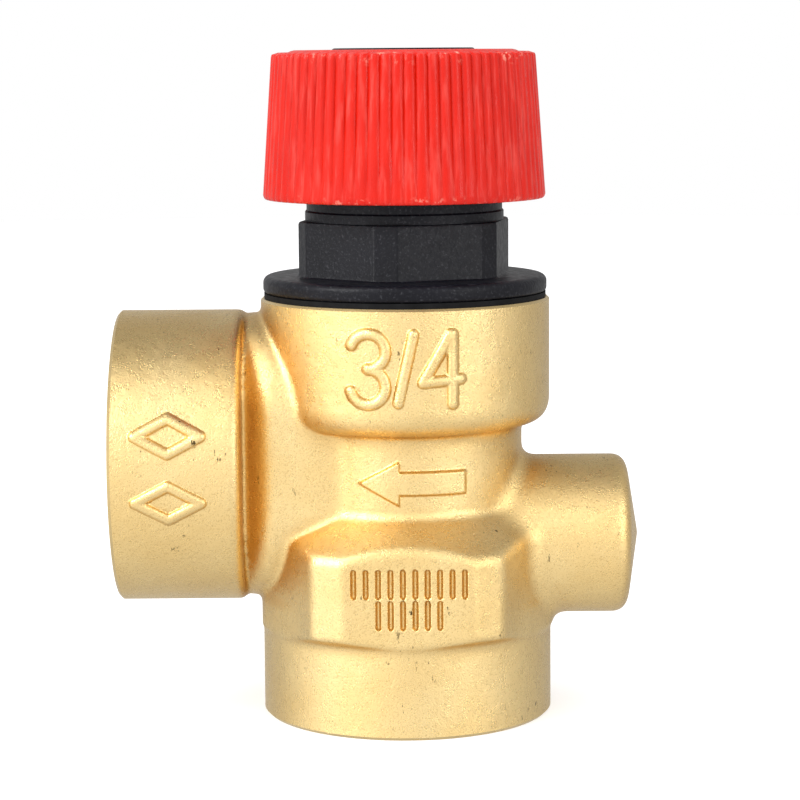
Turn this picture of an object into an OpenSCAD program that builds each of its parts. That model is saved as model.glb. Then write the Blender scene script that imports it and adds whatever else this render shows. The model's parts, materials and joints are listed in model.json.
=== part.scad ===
// Diaphragm pressure relief valve with a side outlet, closed by a spring and opened by hand with a knob.
// Millimetres. +Z runs up the spindle, -X points out of the outlet, and the origin is the centre of the inlet's face.

/* [Ports] */
// Outside radius of the inlet and outlet sockets
socket_r = 16.5; // [16:0.1:18]
// Radius of the thread's inner wall in both sockets (G 3/4 minor radius)
thread_r = 12.06; // [11.8:0.02:12.4]
// Depth of the straight thread wall in the inlet
inlet_thread_l = 12.8; // [10:0.1:13]
// Depth of the straight thread wall in the outlet
outlet_thread_l = 10.7; // [9:0.1:11]
// Height of the outlet's axis above the inlet's face
outlet_z = 29.55; // [29.4:0.05:29.8]
// Distance from the spindle's axis to the outlet's face
outlet_face_x = 32.5; // [32:0.1:36]
// Length of the outlet's round socket
outlet_socket_l = 14.2; // [14:0.1:15]

/* [Body] */
// Height of the body's top face
body_top_z = 47.5; // [47.5:0.1:47.5]
// Outside radius of the barrel that takes the bonnet
barrel_r = 16.35; // [16.2:0.05:17]
// Outside radius of the neck under the barrel
neck_r = 13.2; // [12.9:0.1:14]
// Half of the wrench section's width across its front and back flats
wrench_half = 16.9; // [16.6:0.1:17.5]
// Half of the front flat's width
wrench_flat_half = 10.1; // [9:0.1:11]
// Height of the blank gauge boss's axis
boss_z = 20.1; // [19:0.1:21]
// Radius of the blank gauge boss
boss_r = 9.05; // [8:0.05:9.5]
// Distance from the spindle's axis to the tip of the boss's conical face
boss_tip_x = 26.5; // [25:0.1:28]

/* [Seat] */
// Height of the seat's rim
seat_z = 25; // [24.8:0.1:25]
// Radius of the orifice
seat_bore_r = 7.5; // [6:0.1:7.8]
// How far the disc lifts off the seat
lift = 2; // [1:0.1:2]

/* [Bonnet] */
// Width across the bonnet's flats
hex_af = 22.4; // [22:0.1:24]
// Radius of the bonnet's flange
flange_r = 16.05; // [15.5:0.05:16.3]
// Radius of the tower inside the knob
tower_r = 11.05; // [11:0.05:11.2]
// Height of the tower's rim, where its ramps stand
tower_z = 67; // [67:0.1:67]

/* [Knob] */
// Outside radius at the knob's lower edge
knob_low_r = 15.95; // [15.5:0.05:17]
// Outside radius at the knob's top edge
knob_top_r = 14.8; // [14.5:0.05:15.5]
// Height of the knob's lower edge
knob_low_z = 58.65; // [58.4:0.05:59]
// Height of the knob's top edge
knob_top_z = 75; // [75:0.1:75.2]
// Number of grip ribs round the knob
ribs = 72; // [36:12:96]
// Angle that the knob turns to reach full lift
knob_turn = 75; // [60:5:75]

/* [Spring] */
// Wire diameter of the main spring
wire_d = 1.9; // [1.6:0.1:2]
// Radius of the spring at the wire's centre
coil_r = 6.9; // [6.6:0.1:7]
// Number of turns, with the closed ends
coil_turns = 7; // [6:0.5:7.5]

/* [Hidden] */
$fn = 96;

thread_mouth = 1.2;                     // chamfer at the mouth of each threaded socket
socket_chamfer = 0.7;                   // chamfer round the rim of each socket
passage_r = 8.2;                        // cross passage from the chamber to the outlet
chamber_r = 10.9;                       // chamber round the seat
chamber_floor_z = 19.5;
nozzle_r = 9.2;                         // outside of the raised seat
ledge_z = 39.6;                         // ledge that carries the diaphragm's rim
bonnet_bore_r = 14.1;                   // threaded bore for the bonnet, at its inner wall
wrench_z = [10.2, 12, 21.3, 24.4];      // wrench section: end of the lower cone, its start, the flat's top, the neck
barrel_z = 33.3;                        // underside of the barrel
barrel_round = 2.2;                     // rounding of the barrel's lower edge

stub_r = bonnet_bore_r - 0.12;          // bonnet's threaded stub, with thread play
gasket_t = 0.6;
flange_z = body_top_z + gasket_t;
flange_t = 1.9;
hex_z = flange_z + flange_t;
hex_top_z = 56.25;
corner_af = 24.36;                      // across the six cut corners of the hexagon
hex_turn = 20;                          // the hexagon's corners stand 20 degrees off the outlet's axis
spring_bore_r = 8.8;

rim_t = 1;                              // diaphragm's thickness
slip_t = 0.6;
stub_z = ledge_z + rim_t + slip_t;      // lower end of the bonnet's stub
centre_z = 37.6;                        // underside of the diaphragm at its centre
centre_r = 7.6;
spigot_r = 3;

seal_t = 2.5;
seal_r = 8.95;
holder_r = 9.6;
stem_r = 3;
stem_thread_r = 2;
plate_z = centre_z + rim_t;
plate_t = 0.8;
low_seat_z = plate_z + plate_t;
low_seat_t = 1.4;
guide_z = low_seat_z + 3;               // top of the lower spring seat's centring boss
nut_t = 2;
spring_z = [low_seat_z + low_seat_t, 61.4];
up_seat_t = 0.8;
adjust_z = [spring_z[1] + up_seat_t, 66.2];
shoulder_z = 68.2;                      // stem's shoulder under the knob's hub
journal_r = 2.5;
hub_top_z = 72.4;

ramp_count = 4;
ramp_gap = 3;                           // angle from a ramp's high end to the next one's low end
ramp_span = 360 / ramp_count - ramp_gap;
ramp_slope = lift / knob_turn;          // rise per degree
ramp_r = [9.1, 10.8];
ramp_z = tower_z + 0.2;                 // low end of each ramp
ramp_play = 0.1;
lug_span = ramp_span - knob_turn;

brass = "#d9b35a";
machined = "#c9a24c";
nylon = "#1d1e21";
rubber = "#141414";
steel = "#b9bcc0";
red = "#d8221c";
dark = "#2a2b2d";

// A ring between two radii and two heights.
module ring(r_in, r_out, z0, z1) {
    rotate_extrude() translate([r_in, z0]) square([r_out - r_in, z1 - z0]);
}

// A solid of revolution about Z from an outline of [radius, height] points.
module turned(outline) {
    rotate_extrude() polygon(outline);
}

// Lays what stands on Z along -X, at the outlet's axis.
module along_outlet() {
    translate([0, 0, outlet_z]) rotate([0, -90, 0]) children();
}

// Points of a quarter round of radius r about [x, y], from angle a0 to a1.
function arc(x, y, r, a0, a1, steps = 8) =
    [for (i = [0:steps]) let (a = a0 + (a1 - a0) * i / steps) [x + r * cos(a), y + r * sin(a)]];

// ---------------------------------------------------------------- body

module socket(length) {
    turned([[0, 0], [socket_r - socket_chamfer, 0], [socket_r, socket_chamfer], [socket_r, length], [0, length]]);
}

// A wrench section with flats at front and back, its corners cut by a cone at each end.
module wrench_section() {
    side_x = socket_r;
    corner_y = wrench_half - (side_x - wrench_flat_half) * tan(60);
    intersection() {
        translate([0, 0, wrench_z[0]]) linear_extrude(wrench_z[3] - wrench_z[0])
            polygon([for (m = [[1, -1], [1, 1], [-1, 1], [-1, -1]])
                     each (m[0] * m[1] > 0
                           ? [[side_x * m[0], corner_y * m[1]], [wrench_flat_half * m[0], wrench_half * m[1]]]
                           : [[wrench_flat_half * m[0], wrench_half * m[1]], [side_x * m[0], corner_y * m[1]]])]);
        turned([[0, wrench_z[0] - 1], [socket_r - 1, wrench_z[0] - 1], [socket_r, wrench_z[0]],
                [socket_r + 3.6, wrench_z[1] + 0.6], [socket_r + 3.6, wrench_z[2] - 2],
                [neck_r, wrench_z[3]], [0, wrench_z[3]]]);
    }
}

module barrel() {
    turned(concat([[0, barrel_z - 1.6], [neck_r, barrel_z - 1.6], [neck_r, barrel_z]],
                  arc(barrel_r - barrel_round, barrel_z + barrel_round, barrel_round, -90, 0),
                  [[barrel_r, body_top_z - 0.3], [barrel_r - 0.3, body_top_z], [0, body_top_z]]));
}

// The flat-sided neck that carries the outlet's socket.
module outlet_neck() {
    half_w = 10.8;
    half_h = socket_r - 0.3;
    for (side = [-1, 1])
        translate([0, 0, side * (half_h - half_w)]) along_outlet() cylinder(r = half_w, h = outlet_face_x - 4);
    translate([4 - outlet_face_x, -half_w, outlet_z - half_h + half_w])
        cube([outlet_face_x - 4, 2 * half_w, 2 * (half_h - half_w)]);
}

// The blank boss, closed by a shallow cone, where a gauge port can be drilled.
module gauge_boss() {
    cone_l = 1.5;
    edge = 1.1;
    translate([0, 0, boss_z]) rotate([0, 90, 0])
        turned([[0, 0], [boss_r, 0], [boss_r, boss_tip_x - cone_l - edge], [boss_r - edge, boss_tip_x - cone_l],
                [0, boss_tip_x]]);
}

// A raised arrow that points to the outlet, on the front of the neck.
module flow_arrow() {
    raised = 0.45;
    arrow = [[-5.8, 0], [-1.7, 2.7], [-1.7, 1.4], [6, 1.4], [6, -1.4], [-1.7, -1.4], [-1.7, -2.7]];
    intersection() {
        ring(neck_r - 1, neck_r + raised, wrench_z[3] + 0.5, barrel_z);
        translate([0.6, -neck_r - 2, 27.9]) rotate([-90, 0, 0]) linear_extrude(neck_r) polygon(arrow);
    }
}

module body_outside() {
    socket(wrench_z[1]);
    translate([0, 0, wrench_z[1] - 1]) cylinder(r = neck_r, h = barrel_z - wrench_z[1] + 1);
    wrench_section();
    barrel();
    translate([outlet_socket_l - outlet_face_x, 0, 0]) mirror([1, 0, 0])
        translate([0, 0, outlet_z]) rotate([0, 90, 0])
            turned([[0, 0], [socket_r - 0.6, 0], [socket_r, 0.6], [socket_r, outlet_socket_l - socket_chamfer],
                    [socket_r - socket_chamfer, outlet_socket_l], [0, outlet_socket_l]]);
    outlet_neck();
    gauge_boss();
    flow_arrow();
}

// A threaded socket's hole, from its mouth at 0 inwards, ending in a cone down to end_r.
module threaded_hole(wall_l, end_r, cone_l) {
    turned([[0, -1], [thread_r + thread_mouth + 1, -1], [thread_r, thread_mouth], [thread_r, thread_mouth + wall_l],
            [end_r, thread_mouth + wall_l + cone_l], [0, thread_mouth + wall_l + cone_l]]);
}

module body_hollow() {
    threaded_hole(inlet_thread_l, seat_bore_r, 3);
    translate([0, 0, 14]) cylinder(r = seat_bore_r, h = seat_z - 13);
    translate([-outlet_face_x, 0, outlet_z]) rotate([0, 90, 0]) threaded_hole(outlet_thread_l, passage_r, 2.6);
    along_outlet() cylinder(r = passage_r, h = outlet_face_x - 12);
    translate([0, 0, chamber_floor_z]) cylinder(r = chamber_r, h = ledge_z - chamber_floor_z + 1);
    translate([0, 0, ledge_z]) cylinder(r = bonnet_bore_r, h = body_top_z - ledge_z + 1);
}

// The raised seat, bevelled outside to a narrow rim.
module nozzle() {
    bevel = 1;
    turned([[seat_bore_r, chamber_floor_z - 1.5], [nozzle_r, chamber_floor_z - 1.5], [nozzle_r, seat_z - bevel],
            [nozzle_r - bevel, seat_z], [seat_bore_r, seat_z]]);
}

module body() color(brass) {
    difference() {
        body_outside();
        body_hollow();
    }
    nozzle();
}

// ---------------------------------------------------------------- bonnet and what it clamps

module bonnet_gasket() color(rubber) ring(bonnet_bore_r + 0.2, flange_r - 0.1, body_top_z, flange_z);

module slip_ring() color(steel) ring(11.2, bonnet_bore_r - 0.2, ledge_z + rim_t, stub_z);

module diaphragm() color(rubber)
    turned([[spigot_r + 0.05, centre_z], [centre_r, centre_z], [chamber_r - 0.1, ledge_z],
            [bonnet_bore_r - 0.15, ledge_z], [bonnet_bore_r - 0.15, ledge_z + rim_t],
            [chamber_r - 0.1, ledge_z + rim_t], [centre_r, centre_z + rim_t], [spigot_r + 0.05, centre_z + rim_t]]);

// Ramps that climb anticlockwise, seen from above, with their tops shifted up by offset.
function ramp_points(r, z_flat, z_low, a0, span, steps) =
    [for (i = [0:steps]) let (a = a0 + span * i / steps, z = z_low + ramp_slope * span * i / steps)
        each [[r[0] * cos(a), r[0] * sin(a), z_flat], [r[1] * cos(a), r[1] * sin(a), z_flat],
              [r[1] * cos(a), r[1] * sin(a), z], [r[0] * cos(a), r[0] * sin(a), z]]];

// One ramp between a flat height and a sloping face; over is true where the sloping face is the upper one.
module ramp(r, z_flat, z_low, a0, span, over) {
    steps = ceil(span / 6);
    sides = [for (i = [0:steps - 1], k = [0:3])
             [4 * i + k, 4 * i + 4 + k, 4 * i + 4 + (k + 1) % 4, 4 * i + (k + 1) % 4]];
    ends = [[0, 1, 2, 3], [4 * steps + 3, 4 * steps + 2, 4 * steps + 1, 4 * steps]];
    faces = concat(sides, ends);
    polyhedron(ramp_points(r, z_flat, z_low, a0, span, steps),
               over ? [for (f = faces) [for (i = [len(f) - 1:-1:0]) f[i]]] : faces);
}

module hexagon(across_flats) {
    circle(r = across_flats / 2 / cos(30), $fn = 6);
}

module bonnet() color(nylon) {
    difference() {
        union() {
            translate([0, 0, stub_z]) cylinder(r = stub_r, h = flange_z - stub_z + 0.5);
            turned([[0, flange_z], [flange_r - 0.3, flange_z], [flange_r, flange_z + 0.3],
                    [flange_r, hex_z - 0.6], [flange_r - 0.6, hex_z], [0, hex_z]]);
            translate([0, 0, hex_z - 0.5]) rotate(hex_turn) linear_extrude(hex_top_z - hex_z + 0.5) intersection() {
                hexagon(hex_af);
                rotate(30) hexagon(corner_af);
            }
            translate([0, 0, hex_z]) cylinder(r = tower_r, h = tower_z - hex_z);
        }
        translate([0, 0, stub_z - 1]) cylinder(r = spring_bore_r, h = tower_z - stub_z + 2);
        translate([0, 0, stub_z - 1]) cylinder(r = 10.6, h = 4);
    }
    for (i = [0:ramp_count - 1]) ramp(ramp_r, tower_z - 0.5, ramp_z, 90 * i, ramp_span, true);
}

module upper_spring_seat() color(steel) ring(3.4, spring_bore_r - 0.3, spring_z[1], adjust_z[0]);

// The ring that sets the spring's load, with two slots for its key.
module adjusting_ring() color(machined) difference() {
    ring(stem_r + 0.06, spring_bore_r - 0.08, adjust_z[0], adjust_z[1]);
    translate([-10, -1, adjust_z[1] - 1.2]) cube([20, 2, 2]);
}

// ---------------------------------------------------------------- spring

// Centre of the wire at turn t, with the first and last turns closed.
function wire_z(t) =
    let (low = spring_z[0] + wire_d / 2 + 0.06, high = spring_z[1] - wire_d / 2 - 0.06,
         closed = wire_d * 1.03, free = coil_turns - 2, open = (high - low - 2 * closed) / free)
    t < 1 ? low + closed * t : t > coil_turns - 1 ? high - closed * (coil_turns - t) : low + closed + open * (t - 1);

module main_spring() color(steel) {
    sides = 10;
    rings = coil_turns * 20;
    points = [for (i = [0:rings], k = [0:sides - 1])
              let (t = i * coil_turns / rings, a = 360 * t, b = 360 * k / sides, r = coil_r + wire_d / 2 * cos(b))
              [r * cos(a), r * sin(a), wire_z(t) + wire_d / 2 * sin(b)]];
    walls = [for (i = [0:rings - 1], k = [0:sides - 1])
             let (n = (k + 1) % sides)
             [i * sides + k, i * sides + n, (i + 1) * sides + n, (i + 1) * sides + k]];
    ends = [[for (k = [sides - 1:-1:0]) k], [for (k = [0:sides - 1]) rings * sides + k]];
    polyhedron(points, concat(walls, ends));
}

// ---------------------------------------------------------------- what lifts

// Carries the seal below and clamps the diaphragm above.
module disc_holder() color(machined) {
    plate = seat_z + seal_t;
    difference() {
        turned([[0, plate], [seal_r, plate], [seal_r, seat_z + 0.9], [holder_r, seat_z + 0.9], [holder_r, plate + 2],
                [4.2, plate + 2], [4.2, centre_z - 1.6], [centre_r - 0.4, centre_z - 1.6],
                [centre_r - 0.4, centre_z], [spigot_r, centre_z], [spigot_r, plate_z], [0, plate_z]]);
        translate([0, 0, 33]) cylinder(r = stem_thread_r + 0.05, h = 7);
        translate([0, 0, plate - 1]) cylinder(r = 1.65, h = 5.2);
    }
}

module seal_disc() color(rubber) ring(1.75, seal_r - 0.02, seat_z, seat_z + seal_t);

module seal_washer() color(steel) ring(1.7, 4.6, seat_z - 0.8, seat_z);

module seal_screw() color(steel) difference() {
    turned([[0, seat_z - 2.8], [2.6, seat_z - 2.8], [3.2, seat_z - 2.2], [3.2, seat_z - 0.8], [1.6, seat_z - 0.8],
            [1.6, seat_z + 6.2], [0, seat_z + 6.2]]);
    translate([-4, -0.4, seat_z - 3.8]) cube([8, 0.8, 1.9]);
}

module diaphragm_plate() color(steel) ring(stem_thread_r + 0.1, 7.4, plate_z, low_seat_z);

module lower_spring_seat() color(steel)
    turned([[stem_thread_r + 0.1, low_seat_z], [8.4, low_seat_z], [8.4, spring_z[0]], [4.9, spring_z[0]],
            [4.9, guide_z - 0.5], [4.4, guide_z], [stem_thread_r + 0.1, guide_z]]);

// Clamps the spring seat, the plate and the diaphragm onto the disc holder.
module stem_nut() color(steel) difference() {
    intersection() {
        translate([0, 0, guide_z]) linear_extrude(nut_t) hexagon(8);
        turned([[0, guide_z], [4.3, guide_z], [5.2, guide_z + 0.6], [5.2, guide_z + nut_t - 0.6], [4.3, guide_z + nut_t],
                [0, guide_z + nut_t]]);
    }
    translate([0, 0, guide_z - 1]) cylinder(r = stem_thread_r + 0.05, h = nut_t + 2);
}

module stem() color(machined) difference() {
    turned([[0, 33.2], [stem_thread_r, 33.2], [stem_thread_r, guide_z + nut_t + 0.4], [stem_r, guide_z + nut_t + 0.8],
            [stem_r, shoulder_z], [journal_r, shoulder_z], [journal_r, hub_top_z + 0.02], [0, hub_top_z + 0.02]]);
    translate([0, 0, 65]) cylinder(r = 1.55, h = 9);
}

module knob_washer() color(steel) ring(1.6, 4.6, hub_top_z + 0.04, hub_top_z + 0.6);

// Cross-recessed pan head over the washer, threaded down into the stem.
module knob_screw() color(steel) difference() {
    head_z = hub_top_z + 0.6;
    turned([[0, 65.4], [1.5, 65.4], [1.5, head_z], [3, head_z], [3, head_z + 0.6], [2.5, head_z + 1],
            [0, head_z + 1]]);
    for (a = [0, 90]) rotate(a) translate([-1.6, -0.3, head_z + 0.4]) cube([3.2, 0.6, 2]);
}

// ---------------------------------------------------------------- knob

// Half rib, half groove, round a mean radius.
module ribbed_outline(r, depth) {
    points_per_rib = 4;
    n = ribs * points_per_rib;
    polygon([for (i = [0:n - 1]) let (a = 360 * i / n, d = depth * (cos(360 * i / points_per_rib) - 1) / 2)
             [(r + d) * cos(a), (r + d) * sin(a)]]);
}

module knob() color(red) {
    wall = 1.7;
    roof_z = 72.9;
    floor_r = 9.3;
    difference() {
        translate([0, 0, knob_low_z])
            linear_extrude(knob_top_z - knob_low_z, scale = knob_top_r / knob_low_r)
                ribbed_outline(knob_low_r, 0.5);
        turned([[0, knob_low_z - 1], [knob_low_r - wall, knob_low_z - 1], [knob_top_r - wall - 0.1, roof_z],
                [floor_r, roof_z], [floor_r, hub_top_z - 1.5], [5, hub_top_z - 1.5], [5, shoulder_z + 0.05],
                [0, shoulder_z + 0.05]]);
        cylinder(r = journal_r + 0.05, h = 80);
        translate([0, 0, hub_top_z]) cylinder(r = 7.6, h = 10);
        translate([0, 0, knob_top_z - 0.9]) cylinder(r = 8.1, h = 10);
    }
    for (i = [0:ramp_count - 1])
        ramp([9.35, 10.6], roof_z + 0.5, ramp_z + ramp_play, 90 * i, lug_span, false);
}

// Snap-in disc that covers the screw.
module knob_cap() color(dark) {
    top_z = knob_top_z + 0.4;
    turned([[0, knob_top_z - 0.85], [6.6, knob_top_z - 0.85], [6.6, hub_top_z + 0.4], [7.4, hub_top_z + 0.4],
            [7.4, knob_top_z - 0.85], [8.05, knob_top_z - 0.85], [8.05, top_z - 0.3], [7.6, top_z],
            [0, top_z]]);
}

body();
bonnet_gasket();
bonnet();
slip_ring();
diaphragm();
upper_spring_seat();
adjusting_ring();
main_spring();
disc_holder();
seal_disc();
seal_washer();
seal_screw();
diaphragm_plate();
lower_spring_seat();
stem_nut();
stem();
knob_washer();
knob_screw();
knob();
knob_cap();
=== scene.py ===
"""Looks of the pressure relief valve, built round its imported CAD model.

Shapes are worked out in millimetres and made in metres. +Z runs up the spindle, and the outlet points
along -X.
"""
import json
import math
from contextlib import contextmanager

import bmesh
import bpy
import numpy as np
from mathutils import Matrix, Vector

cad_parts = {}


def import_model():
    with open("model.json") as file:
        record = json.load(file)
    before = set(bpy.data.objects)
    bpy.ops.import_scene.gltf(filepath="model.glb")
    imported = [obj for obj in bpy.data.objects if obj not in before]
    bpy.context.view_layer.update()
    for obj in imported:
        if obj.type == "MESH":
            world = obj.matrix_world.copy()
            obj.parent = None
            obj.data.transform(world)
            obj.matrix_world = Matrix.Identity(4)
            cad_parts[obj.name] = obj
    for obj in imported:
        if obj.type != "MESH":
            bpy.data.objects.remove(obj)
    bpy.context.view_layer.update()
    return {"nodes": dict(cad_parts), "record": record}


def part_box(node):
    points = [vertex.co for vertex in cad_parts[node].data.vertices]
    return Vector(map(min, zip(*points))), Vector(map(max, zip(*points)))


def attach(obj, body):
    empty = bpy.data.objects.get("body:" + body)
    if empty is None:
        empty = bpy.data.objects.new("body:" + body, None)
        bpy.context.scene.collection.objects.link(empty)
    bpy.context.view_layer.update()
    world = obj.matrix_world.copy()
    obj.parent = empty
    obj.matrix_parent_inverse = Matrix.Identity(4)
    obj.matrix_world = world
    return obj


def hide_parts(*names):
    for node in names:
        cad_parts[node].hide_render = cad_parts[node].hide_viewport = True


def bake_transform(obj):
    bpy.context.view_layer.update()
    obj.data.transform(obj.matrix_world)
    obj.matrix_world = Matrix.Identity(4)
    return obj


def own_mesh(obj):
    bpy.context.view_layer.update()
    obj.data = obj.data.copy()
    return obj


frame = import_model()
MM = 0.001


def box_mm(node):
    """Lowest and highest corners of a CAD node, in mm."""
    low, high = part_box(node)
    return [v / MM for v in low], [v / MM for v in high]


def mount(name):
    """Place in mm and wall radius in mm of a round mount."""
    found = next(m for m in frame["record"]["mounts"] if m["name"] == name)
    return [v / MM for v in found["pos_m"]], found["dims"]["r_mm"]


# ---------------------------------------------------------------- sizes from the frame, in mm

BODY_LOW, BODY_HIGH = box_mm("body")
_, GASKET_HIGH = box_mm("bonnet_gasket")
BONNET_LOW, _ = box_mm("bonnet")
DIAPHRAGM_LOW, DIAPHRAGM_HIGH = box_mm("diaphragm")
SPRING_LOW, SPRING_HIGH = box_mm("main_spring")
KNOB_LOW, _ = box_mm("knob")
CAP_LOW, CAP_HIGH = box_mm("knob_cap")
SEAL_LOW, _ = box_mm("seal_disc")
(_, _, OUTLET_Z), THREAD_R = mount("outlet_thread")

TOP_Z = BODY_HIGH[2]
OUTLET_X = BODY_LOW[0]
BOSS_TIP_X = BODY_HIGH[0]
WRENCH_HALF = BODY_HIGH[1]
SEAT_Z = SEAL_LOW[2]

# ---------------------------------------------------------------- the other driving sizes, in mm

SOCKET_R = 16.5           # both threaded sockets
BARREL_R = 16.35          # the round head under the bonnet
NECK_R = 13.2             # the upright neck between head and wrench flats
BOSS_R = 9.05
BOSS_Z = 20.1
SOCKET_END_X = -18.2      # where the outlet's socket ends
NECK_START_X = -15.8      # where the neck behind it reaches its full depth
INLET_SOCKET_TOP = 13.5
BARREL_FOOT = 33.3
THREAD_PITCH = 1.814
INLET_THREAD_END = 14.0
OUTLET_THREAD_END = 11.9
BONNET_BORE_R = 14.1
CHAMBER_R = 10.9
ORIFICE_R = 7.5
OUTLET_PASSAGE_R = 8.2
DIAPHRAGM_THICK = 1.0
LEDGE_Z = DIAPHRAGM_HIGH[2] - DIAPHRAGM_THICK
KNOB_TOP_Z = 75.0
KNOB_TOP_R = 14.8
KNOB_FOOT_R = 15.95
KNOB_RIBS = 72
HEX_TOP = 56.25           # the bonnet's hexagon
COLLAR_TOP = 66.95        # the bonnet's collar, which the knob turns on
RAMPS = 4
RAMP_SPAN = 87.0          # degrees
LUG_SPAN = 12.0           # degrees
RAMP_RISE = 2.0 / 75      # mm for each degree


# ---------------------------------------------------------------- materials

class Nodes:
    """A node tree, with short ways to add and join nodes."""

    def __init__(self, tree):
        self.tree = tree

    def put(self, value, socket):
        """Joins an output to an input, or sets the input to a number or a colour."""
        if isinstance(value, bpy.types.NodeSocket):
            self.tree.links.new(value, socket)
        elif socket.type == "RGBA":
            socket.default_value = (*value, 1)
        else:
            socket.default_value = value

    def node(self, kind, **inputs):
        """A new node. Its inputs are given by name, with _ for a space."""
        made = self.tree.nodes.new("ShaderNode" + kind)
        for name, value in inputs.items():
            self.put(value, made.inputs[name.replace("_", " ")])
        return made

    def math(self, operation, *values):
        made = self.node("Math")
        made.operation = operation
        for value, socket in zip(values, made.inputs):
            self.put(value, socket)
        return made.outputs["Value"]

    def split(self, place):
        """X, Y and Z of a place or direction."""
        return tuple(self.node("SeparateXYZ", Vector=place).outputs)

    def spread(self, value, low, high, new_low=0.0, new_high=1.0):
        """Stretches values between low and high to the new range, and clamps the rest."""
        made = self.node("MapRange", Value=value, From_Min=low, From_Max=high, To_Min=new_low,
                         To_Max=new_high)
        return made.outputs["Result"]

    def ramp(self, value, *stops, blend="LINEAR"):
        """Colour from a value, by (place, (r, g, b)) stops."""
        made = self.node("ValToRGB", Fac=value)
        made.color_ramp.interpolation = blend
        while len(made.color_ramp.elements) < len(stops):
            made.color_ramp.elements.new(0.5)
        for element, (place, colour) in zip(made.color_ramp.elements, stops):
            element.position = place
            element.color = (*colour, 1)
        return made.outputs["Color"]

    def mix(self, share, a, b):
        """Colour a towards colour b by share."""
        made = self.node("Mix")
        made.data_type = "RGBA"
        for name, value in (("Factor", share), ("A", a), ("B", b)):
            self.put(value, made.inputs[name])
        return next(o for o in made.outputs if o.type == "RGBA")


class Surface(Nodes):
    """A material's node tree."""

    def __init__(self, name, **settings):
        self.material = bpy.data.materials.new(name)
        self.material.use_nodes = True
        super().__init__(self.material.node_tree)
        self.shader = self.tree.nodes["Principled BSDF"]
        self.place = self.node("TexCoord").outputs["Object"]
        self.set(**settings)

    def set(self, **values):
        """Sets or joins the shader's inputs, given by name with _ for a space."""
        for name, value in values.items():
            self.put(value, self.shader.inputs[name.replace("_", " ")])

    def noise(self, size_mm, detail=3.0, rough=0.55, stretch=None):
        """Noise whose features are about size_mm across, as a value from 0 to 1."""
        place = self.place
        if stretch:
            place = self.node("Mapping", Vector=place, Scale=stretch).outputs["Vector"]
        made = self.node("TexNoise", Vector=place, Scale=1 / (size_mm * MM), Detail=detail, Roughness=rough)
        return made.outputs["Fac"]

    def uneven(self, noise, low, high):
        """A value that wanders between low and high with a noise."""
        return self.spread(noise, 0.3, 0.7, low, high)

    def two_tone(self, noise, dark, light):
        """A colour that wanders between dark and light with a noise."""
        return self.ramp(noise, (0.3, dark), (0.7, light))

    def bump(self, *layers):
        """Stacks (height, depth in mm) layers."""
        normal = None
        for height, depth_mm in layers:
            made = self.node("Bump", Height=height, Distance=depth_mm * MM)
            if normal is not None:
                self.put(normal, made.inputs["Normal"])
            normal = made.outputs["Normal"]
        self.set(Normal=normal)


def scaled(colour, share):
    return tuple(share * c for c in colour)


def cast_brass():
    """Forged and shot-blasted: satin, finely grained, with painted shade darkening its creases, and a few
    dark nicks.
    """
    n = Surface("cast_brass", Metallic=1.0)
    patches = n.spread(n.noise(9, 4), 0.35, 0.65)
    colour = n.ramp(patches, (0, (0.86, 0.615, 0.265)), (1, (0.90, 0.675, 0.32)))

    # Painted shade: the colour darkens towards (0.72, 0.46, 0.17) by the occlusion stored on the skin,
    # deepest in creases and hollows.
    occlusion_shade = n.node("Attribute")
    occlusion_shade.attribute_name = "occlusion_shade"
    painted_crease_shade = n.spread(occlusion_shade.outputs["Fac"], 0.08, 0.60, 0, 0.9)
    colour = n.mix(painted_crease_shade, colour, (0.72, 0.46, 0.17))

    grain = n.noise(0.17, 2, 0.6)
    colour = n.mix(n.spread(grain, 0.46, 0.32, 0, 0.5), colour, (0.46, 0.29, 0.10))

    scratches = n.spread(n.noise(0.7, 3, 0.75, stretch=(1, 1, 0.45)), 0.64, 0.69)
    nicks = n.math("MULTIPLY", scratches, n.spread(n.noise(5, 2), 0.54, 0.62))
    colour = n.mix(nicks, colour, (0.10, 0.065, 0.025))

    n.set(Base_Color=colour, Roughness=n.uneven(n.noise(1.1, 4), 0.24, 0.33))
    n.bump((n.noise(4.0, 2), 0.10), (n.noise(0.8, 3, 0.6), 0.035), (grain, 0.072))
    return n.material


def turned_brass():
    """Machined: smoother, with fine tool marks."""
    n = Surface("turned_brass", Metallic=1.0)
    colour = (0.86, 0.64, 0.30)
    n.set(Base_Color=n.two_tone(n.noise(4, 3), scaled(colour, 0.88), colour),
          Roughness=n.uneven(n.noise(1.5, 3), 0.21, 0.34))
    n.bump((n.noise(0.16, 3, 0.7), 0.012))
    return n.material


def steel(name, colour, rough):
    """Plated or drawn steel with faint marks."""
    n = Surface(name, Metallic=1.0)
    n.set(Base_Color=n.two_tone(n.noise(3, 4), scaled(colour, 0.82), colour),
          Roughness=n.uneven(n.noise(0.8, 4), rough - 0.06, rough + 0.10))
    n.bump((n.noise(0.2, 3), 0.01))
    return n.material


def black_rubber():
    """Matt black rubber."""
    n = Surface("black_rubber", Specular_IOR_Level=0.12)
    n.set(Base_Color=n.two_tone(n.noise(2, 4), (0.003, 0.003, 0.0032), (0.008, 0.008, 0.0085)),
          Roughness=n.uneven(n.noise(0.6, 4), 0.62, 0.78))
    n.bump((n.noise(0.3, 3), 0.02))
    return n.material


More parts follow.
